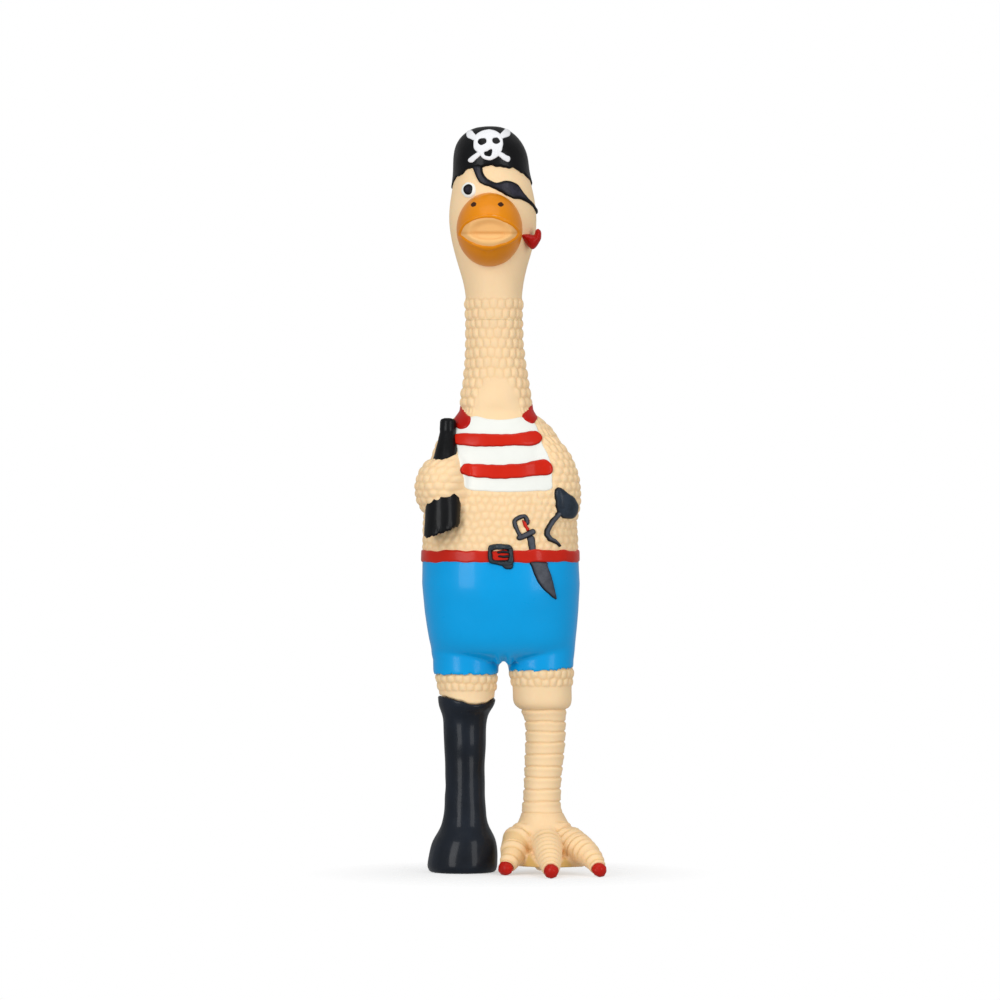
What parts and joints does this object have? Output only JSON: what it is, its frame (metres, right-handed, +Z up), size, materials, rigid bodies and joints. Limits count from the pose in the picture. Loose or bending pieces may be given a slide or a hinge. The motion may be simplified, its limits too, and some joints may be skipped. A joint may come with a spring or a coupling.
{
  "type": "rubber chicken",
  "caption": "Standing hollow latex pirate chicken with a long flexible neck, open bill, one boot leg with a squeaker in its sole, and one clawed foot.",
  "frame": {"origin": "middle of the footprint box, on the floor the toy stands on", "axes": "+Z up along the body to the hat, -Y the way the bill points, +X the toy's own left, the clawed foot's side"},
  "size_m": [0.1009, 0.0876, 0.4],
  "materials": {
    "skin": "matte latex, cream",
    "red_paint": "glossy latex paint, red",
    "white_paint": "satin latex paint, white",
    "black_paint": "glossy latex paint, black",
    "navy_paint": "glossy latex paint, blue-black",
    "grey_paint": "glossy latex paint, dark grey",
    "blue_paint": "glossy latex paint, sky blue",
    "orange_paint": "glossy latex paint, orange",
    "mouth_paint": "satin latex paint, light tan",
    "squeaker_plastic": "moulded white plastic"
  },
  "bodies": {
    "torso": {"torso_skin": "skin", "shirt": "white_paint", "shirt_stripes": "red_paint", "shirt_straps": "red_paint", "left_wing": "skin", "right_wing": "skin", "bottle": "black_paint", "hook_cuff": "grey_paint", "hook": "grey_paint", "dagger_blade": "grey_paint", "dagger_guard": "grey_paint", "dagger_grip": "red_paint", "belt": "red_paint", "belt_buckle": "black_paint", "belt_tail": "black_paint", "shorts": "blue_paint"},
    "neck": {"neck_skin": "skin"},
    "head": {"head_skin": "skin", "hat": "black_paint", "skull_emblem": "white_paint", "eye_white": "white_paint", "eye_pupil": "black_paint", "eye_patch": "black_paint", "upper_beak": "orange_paint", "lower_beak": "orange_paint", "mouth_lining": "mouth_paint", "pipe": "red_paint"},
    "peg_leg": {"peg_thigh": "skin", "boot": "navy_paint", "squeaker_housing": "squeaker_plastic", "squeaker_cap": "squeaker_plastic", "reed_block": "squeaker_plastic"},
    "reed": {"squeaker_reed": "squeaker_plastic"},
    "bird_leg": {"bird_thigh": "skin", "bird_shank": "skin"},
    "foot": {"bird_foot": "skin", "claws": "red_paint"}
  },
  "joints": [
    {"name": "neck_sway", "type": "hinge", "parent": "torso", "child": "neck", "pos_m": [-0.0079, 0.0115, 0.265], "axis": [0, 1, 0], "range_deg": [-30, 30], "stiffness_Nm_per_rad": 0.8},
    {"name": "head_nod", "type": "hinge", "parent": "neck", "child": "head", "pos_m": [-0.0089, 0.0115, 0.306], "axis": [1, 0, 0], "range_deg": [-28, 28], "stiffness_Nm_per_rad": 0.6},
    {"name": "peg_leg_swing", "type": "hinge", "parent": "torso", "child": "peg_leg", "pos_m": [-0.0236, 0.0115, 0.093], "axis": [1, 0, 0], "range_deg": [-30, 30], "stiffness_Nm_per_rad": 1.5},
    {"name": "bird_leg_swing", "type": "hinge", "parent": "torso", "child": "bird_leg", "pos_m": [0.0166, 0.0115, 0.0965], "axis": [1, 0, 0], "range_deg": [-30, 30], "stiffness_Nm_per_rad": 1.5},
    {"name": "foot_flex", "type": "hinge", "parent": "bird_leg", "child": "foot", "pos_m": [0.0169, 0.0115, 0.024], "axis": [1, 0, 0], "range_deg": [-18, 18], "stiffness_Nm_per_rad": 1.5},
    {"name": "reed_flutter", "type": "hinge", "parent": "peg_leg", "child": "reed", "pos_m": [-0.0302, 0.0115, 0.0055], "axis": [0, 1, 0], "range_deg": [-4, 4], "stiffness_Nm_per_rad": 0.001}
  ]
}
